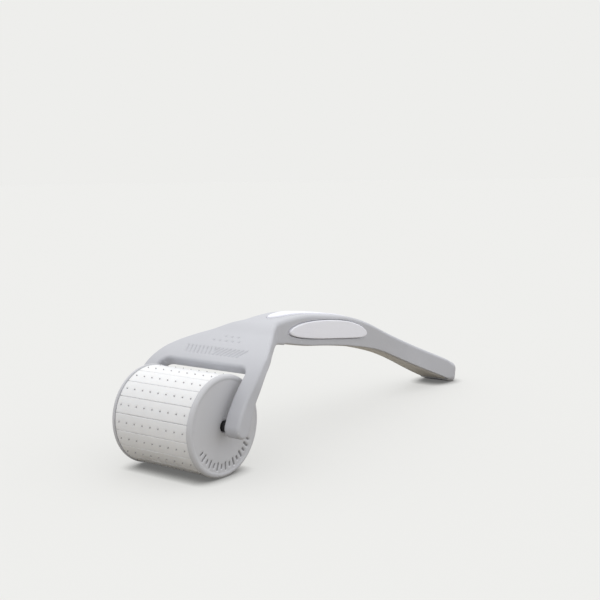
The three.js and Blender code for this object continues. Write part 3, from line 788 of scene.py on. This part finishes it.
def finish(name, shade, drifted, rough, grain_height_mm, wear=0.0, worn=None, grain=4500, drift=90,
           rings=0.0, mark_shade_colour=None, painted_crease_shade=0.45, **uniform):
    """A procedural finish: two close shades, a rough range, a grain, worn edges, and painted shade that
    darkens the creases and, where given, the sunk disc marks.
    """
    material = bpy.data.materials.new(name)
    material.use_nodes = True
    tree = material.node_tree
    shader = tree.nodes["Principled BSDF"]
    for socket, value in uniform.items():
        shader.inputs[socket.replace("_", " ")].default_value = value
    texture = place_group(tree, moulded_grain, Grain_per_metre=grain, Drift_per_metre=drift)
    wear_and_crease_shade = place_group(tree, edge_wear_and_crease_shade, Amount=wear)
    drift_range = node(tree, "MapRange", From_Min=0.35, From_Max=0.65)
    colour = node(tree, "Mix", data_type="RGBA")
    colour.inputs["A"].default_value = (*shade, 1)
    colour.inputs["B"].default_value = (*drifted, 1)
    edges = node(tree, "Mix", data_type="RGBA")
    edges.inputs["B"].default_value = (*(worn or shade), 1)
    gloss = node(tree, "MapRange", From_Min=0.3, From_Max=0.7, To_Min=rough[0], To_Max=rough[1])
    polished = node(tree, "MapRange", To_Min=1.0, To_Max=0.75)
    gloss_now = node(tree, "Math", operation="MULTIPLY")
    bump = node(tree, "Bump", Strength=1.0, Distance=grain_height_mm * MM)
    link = tree.links.new
    link(texture.outputs["Drift"], drift_range.inputs["Value"])
    link(drift_range.outputs["Result"], colour.inputs["Factor"])
    link(colour.outputs["Result"], edges.inputs["A"])
    link(wear_and_crease_shade.outputs["Rubbed"], edges.inputs["Factor"])
    # painted shade: darkens the colour in the creases
    crease_shaded = node(tree, "Mix", data_type="RGBA")
    crease_shaded.inputs["B"].default_value = (*(painted_crease_shade * c for c in shade), 1)
    link(edges.outputs["Result"], crease_shaded.inputs["A"])
    link(wear_and_crease_shade.outputs["Painted crease shade"], crease_shaded.inputs["Factor"])
    painted = crease_shaded
    # painted shade: darkens the colour inside the sunk disc marks
    if mark_shade_colour:
        marks = place_group(
            tree, painted_mark_shade,
            Face=(DISC_OUTER_FACE - SHADE_BELOW_FACE) * MM,
            Inner=MARK_SHADE_INNER_RADIUS * MM,
            Outer=MARK_SHADE_OUTER_RADIUS * MM,
        )
        painted = node(tree, "Mix", data_type="RGBA")
        painted.inputs["B"].default_value = (*mark_shade_colour, 1)
        link(crease_shaded.outputs["Result"], painted.inputs["A"])
        link(marks.outputs["Ink"], painted.inputs["Factor"])
    link(painted.outputs["Result"], shader.inputs["Base Color"])
    link(texture.outputs["Height"], gloss.inputs["Value"])
    link(wear_and_crease_shade.outputs["Rubbed"], polished.inputs["Value"])
    link(gloss.outputs["Result"], gloss_now.inputs[0])
    link(polished.outputs["Result"], gloss_now.inputs[1])
    link(gloss_now.outputs["Value"], shader.inputs["Roughness"])
    height = texture.outputs["Height"]
    if rings:
        turned = place_group(tree, turned_rings)
        stacked = node(tree, "Math", operation="MULTIPLY_ADD")
        stacked.inputs[1].default_value = rings
        link(turned.outputs["Height"], stacked.inputs[0])
        link(height, stacked.inputs[2])
        height = stacked.outputs["Value"]
    link(height, bump.inputs["Height"])
    link(bump.outputs["Normal"], shader.inputs["Normal"])
    return material


# ================================================================ put the pieces in place
def reflect(piece):
    """Turns a piece made for the left side into its twin on the right."""
    piece.data.transform(Matrix.Scale(-1, 4, (0, 1, 0)))
    piece.data.flip_normals()


def place(piece, body, slot_name, material, *nodes):
    piece.data.materials.clear()
    piece.data.materials.append(material)
    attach(piece, body)
    if nodes:
        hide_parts(*nodes)
    return piece


def linked_piece(name, mesh, matrix):
    piece = bpy.data.objects.new(name, mesh)
    bpy.context.scene.collection.objects.link(piece)
    piece.matrix_world = matrix
    return piece


# every finish darkens its creases as painted shade
body_plastic = finish(
    "body_plastic", (0.525, 0.533, 0.568), (0.545, 0.553, 0.588), (0.36, 0.48), 0.012,
    wear=0.7, worn=(0.66, 0.67, 0.70),
)
cover_plastic = finish(
    "cover_plastic", (0.68, 0.665, 0.645), (0.71, 0.695, 0.675), (0.5, 0.62), 0.016,
    wear=0.4, worn=(0.68, 0.67, 0.65), grain=3200,
)
# the disc finish darkens its sunk marks as painted shade
disc_plastic = finish(
    "disc_plastic", (0.60, 0.605, 0.63), (0.62, 0.625, 0.65), (0.34, 0.44), 0.009,
    wear=0.6, worn=(0.60, 0.61, 0.63), rings=0.8, mark_shade_colour=(0.3, 0.3, 0.31),
)
pad_rubber = finish(
    "pad_rubber", (0.885, 0.89, 0.95), (0.90, 0.905, 0.96), (0.6, 0.75), 0.03,
    wear=0.3, worn=(0.80, 0.80, 0.80), grain=2600, Sheen_Weight=0.15, Sheen_Roughness=0.5,
)
strip_plastic = finish(
    "strip_plastic", (0.86, 0.865, 0.875), (0.885, 0.89, 0.90), (0.3, 0.42), 0.006,
    wear=0.2, worn=(0.9, 0.9, 0.9), grain=3800, drift=260,
    Subsurface_Weight=0.08, Subsurface_Radius=(1.0, 0.9, 0.8), Subsurface_Scale=0.0005,
)
core_plastic = finish("core_plastic", (0.70, 0.71, 0.73), (0.73, 0.74, 0.76), (0.4, 0.5), 0.01)
# the sleeve's near-black finish is painted shade in the hub recess
shade_sleeve_black = finish("shade_sleeve_black", (0.012, 0.012, 0.013), (0.02, 0.02, 0.021), (0.35, 0.5), 0.006)
needle_steel = finish(
    "needle_steel", (0.42, 0.42, 0.43), (0.5, 0.5, 0.51), (0.22, 0.34), 0.002, grain=9000, Metallic=1.0
)
axle_steel = finish(
    "axle_steel", (0.55, 0.55, 0.57), (0.62, 0.62, 0.64), (0.18, 0.3), 0.003, grain=7000, Metallic=1.0
)

half_extent = ARM_OUTER_FACE + 0.6
top_height = NECK_HEIGHT + 4.5
handle = moulded(
    "handle_moulding",
    (-ARM_TIP_THICKNESS, 0, -1),
    (TAIL_X + 2, half_extent, top_height),
    HANDLE_STEP,
    handle_field,
    mirrored=True,
)
place(handle, "handle", "body_plastic", body_plastic, "handle_frame")

cover = moulded(
    "cover_moulding",
    (HEAD_LENGTH + COVER_MARGIN - 2, 0, 0),
    (TAIL_X, GRIP_HALF_WIDTH, NECK_HEIGHT + 1),
    COVER_STEP,
    cover_field,
    mirrored=True,
)
place(cover, "handle", "cover_plastic", cover_plastic, "underside_cover")

pad_start = HEAD_LENGTH + SIDE_PAD_START
for side_name in ("left", "right"):
    pad = moulded(
        "finger_pad_" + side_name,
        (pad_start - 1, 2, 15),
        (pad_start + SIDE_PAD_LENGTH + 1, GRIP_HALF_WIDTH + 1, 26),
        PAD_STEP,
        side_pad_field,
    )
    if side_name == "right":
        reflect(pad)
    place(pad, "handle", "pad", pad_rubber, "side_pad_" + side_name)

thumb = moulded(
    "thumb_pad_moulding",
    (HEAD_LENGTH - 1, 0, 18),
    (HEAD_LENGTH + THUMB_PAD_START + THUMB_PAD_LENGTH + 1, THUMB_PAD_HALF_WIDTH + 0.6, 27),
    PAD_STEP,
    thumb_pad_field,
    mirrored=True,
)
place(thumb, "handle", "pad", pad_rubber, "thumb_pad")

axle_matrix = Matrix.Translation((AXLE_X * MM, 0, AXLE_HEIGHT * MM))
disc_reach = FLANGE_RADIUS + 0.5
for side_name in ("left", "right"):
    disc = moulded(
        "end_disc_moulding_" + side_name,
        (-disc_reach, DISC_INNER_FACE - SPIGOT_LENGTH - 0.5, -disc_reach),
        (disc_reach, DISC_OUTER_FACE + 0.5, disc_reach),
        DISC_STEP,
        disc_field,
    )
    disc.data.transform(Matrix.Translation((-AXLE_X * MM, 0, 0)))
    if side_name == "right":
        reflect(disc)
    disc.matrix_world = axle_matrix
    place(disc, "drum", "disc_plastic", disc_plastic, "end_disc_" + side_name)

    # a near-black sleeve in each hub recess, as painted shade
    shade_sleeve = moulded(
        "shoulder_shade_sleeve_" + side_name,
        (-1.5, HUB_FLOOR, -1.5),
        (1.5, ARM_INNER_FACE + 0.2, 1.5),
        SHADE_SLEEVE_STEP,
        shade_sleeve_field,
    )
    shade_sleeve.data.transform(Matrix.Translation((0, 0, AXLE_HEIGHT * MM)))
    if side_name == "right":
        reflect(shade_sleeve)
    place(shade_sleeve, "handle", "disc_plastic", shade_sleeve_black)

strip_mesh = make_strip_mesh()
strip_mesh.materials.append(strip_plastic)
needle_mesh = make_needle_mesh()
needle_mesh.materials.append(needle_steel)
for row in range(NEEDLE_ROWS):
    number = f"{row + 1:02d}"
    matrix = axle_matrix @ Matrix.Rotation(FIRST_ROW_TURN + row * ROW_STEP, 4, "Y")
    strip = linked_piece("skin_strip_" + number, strip_mesh, matrix)
    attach(strip, "drum")
    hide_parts("needle_strip_" + number)
    needles = linked_piece("needles_" + number, needle_mesh, matrix)
    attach(needles, "drum")

for name, material in (("axle", axle_steel), ("drum_core", core_plastic)):
    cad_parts[name].data.materials.clear()
    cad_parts[name].data.materials.append(material)


# ================================================================ floor and light
SKY_HORIZON = (0.93, 0.95, 1.01, 1)
SKY_OVERHEAD = (1.44, 1.43, 1.40, 1)
SKY_FRONT_SHARE = 0.72
FLOOR_SEEN = (0.855, 0.855, 0.838, 1)
FLOOR_BOUNCE = (0.36, 0.335, 0.29, 1)
FLOOR_OWN_LIGHT = 0.6
# reach of the floor's painted contact shadow
PAINTED_SHADOW_REACH = 0.003
FLOOR_RADIUS = 6
LIGHT_LEFT_BY_DIM_FRONT = 0.9


def make_floor():
    """A pale sheet of paper that runs out of sight, and throws back only a little warm light. Seen by the
    camera it glows with an even light of its own, darkened by a painted contact shadow where pieces stand
    close above it.
    """
    build = bmesh.new()
    bmesh.ops.create_circle(build, cap_ends=True, segments=96, radius=FLOOR_RADIUS)
    mesh = bpy.data.meshes.new("floor")
    build.to_mesh(mesh)
    build.free()
    floor = bpy.data.objects.new("floor", mesh)
    bpy.context.scene.collection.objects.link(floor)
    material = bpy.data.materials.new("floor_paper")
    material.use_nodes = True
    tree = material.node_tree
    shader = tree.nodes["Principled BSDF"]
    shader.inputs["Roughness"].default_value = 1.0
    shader.inputs["Specular IOR Level"].default_value = 0.0
    shader.inputs["Emission Color"].default_value = FLOOR_SEEN
    path = node(tree, "LightPath")
    # painted contact shadow: an ambient occlusion test darkens the floor's colour and glow near the pieces
    near = node(tree, "AmbientOcclusion", samples=16, Distance=PAINTED_SHADOW_REACH)
    painted_contact_shadow = node(tree, "MapRange", From_Min=0.25, From_Max=0.95, To_Min=0.25, To_Max=1.0)
    light_on_floor = LIGHT_LEFT_BY_DIM_FRONT * (SKY_HORIZON[0] + 2 * SKY_OVERHEAD[0]) / 3
    seen = [c * (1 - FLOOR_OWN_LIGHT) / light_on_floor for c in FLOOR_SEEN[:3]]
    dimmed = node(tree, "Mix", data_type="RGBA")
    dimmed.inputs["A"].default_value = (0.05, 0.05, 0.048, 1)
    dimmed.inputs["B"].default_value = (*seen, 1)
    tint = node(tree, "Mix", data_type="RGBA")
    tint.inputs["A"].default_value = FLOOR_BOUNCE
    own = node(tree, "Math", operation="MULTIPLY")
    own.inputs[1].default_value = FLOOR_OWN_LIGHT
    glow = node(tree, "Math", operation="MULTIPLY")
    link = tree.links.new
    link(near.outputs["AO"], painted_contact_shadow.inputs["Value"])
    link(painted_contact_shadow.outputs["Result"], dimmed.inputs["Factor"])
    link(dimmed.outputs["Result"], tint.inputs["B"])
    link(path.outputs["Is Camera Ray"], tint.inputs["Factor"])
    link(tint.outputs["Result"], shader.inputs["Base Color"])
    link(path.outputs["Is Camera Ray"], own.inputs[0])
    link(own.outputs["Value"], glow.inputs[0])
    link(painted_contact_shadow.outputs["Result"], glow.inputs[1])
    link(glow.outputs["Value"], shader.inputs["Emission Strength"])
    mesh.materials.append(material)


def make_sky():
    """A soft tent of light: cool near the floor, dimmer towards the drum's front, brighter overhead."""
    world = bpy.data.worlds.new("light_tent")
    bpy.context.scene.world = world
    world.use_nodes = True
    tree = world.node_tree
    background = tree.nodes["Background"]
    direction = node(tree, "TexCoord")
    parts = node(tree, "SeparateXYZ")
    height = node(tree, "Clamp")
    light = node(tree, "Mix", data_type="RGBA")
    light.inputs["A"].default_value = SKY_HORIZON
    light.inputs["B"].default_value = SKY_OVERHEAD
    front = node(tree, "MapRange", From_Min=-1.0, From_Max=0.3, To_Min=SKY_FRONT_SHARE, To_Max=1.0)
    dimmed = node(tree, "VectorMath", operation="SCALE")
    path = node(tree, "LightPath")
    shown = node(tree, "Mix", data_type="RGBA")
    shown.inputs["B"].default_value = FLOOR_SEEN
    link = tree.links.new
    link(parts.outputs["X"], front.inputs["Value"])
    link(light.outputs["Result"], dimmed.inputs[0])
    link(front.outputs["Result"], dimmed.inputs["Scale"])
    link(direction.outputs["Generated"], parts.inputs["Vector"])
    link(parts.outputs["Z"], height.inputs["Value"])
    link(height.outputs["Result"], light.inputs["Factor"])
    link(dimmed.outputs["Vector"], shown.inputs["A"])
    link(path.outputs["Is Camera Ray"], shown.inputs["Factor"])
    link(shown.outputs["Result"], background.inputs["Color"])


make_floor()
make_sky()
bpy.context.scene.view_settings.view_transform = "Standard"
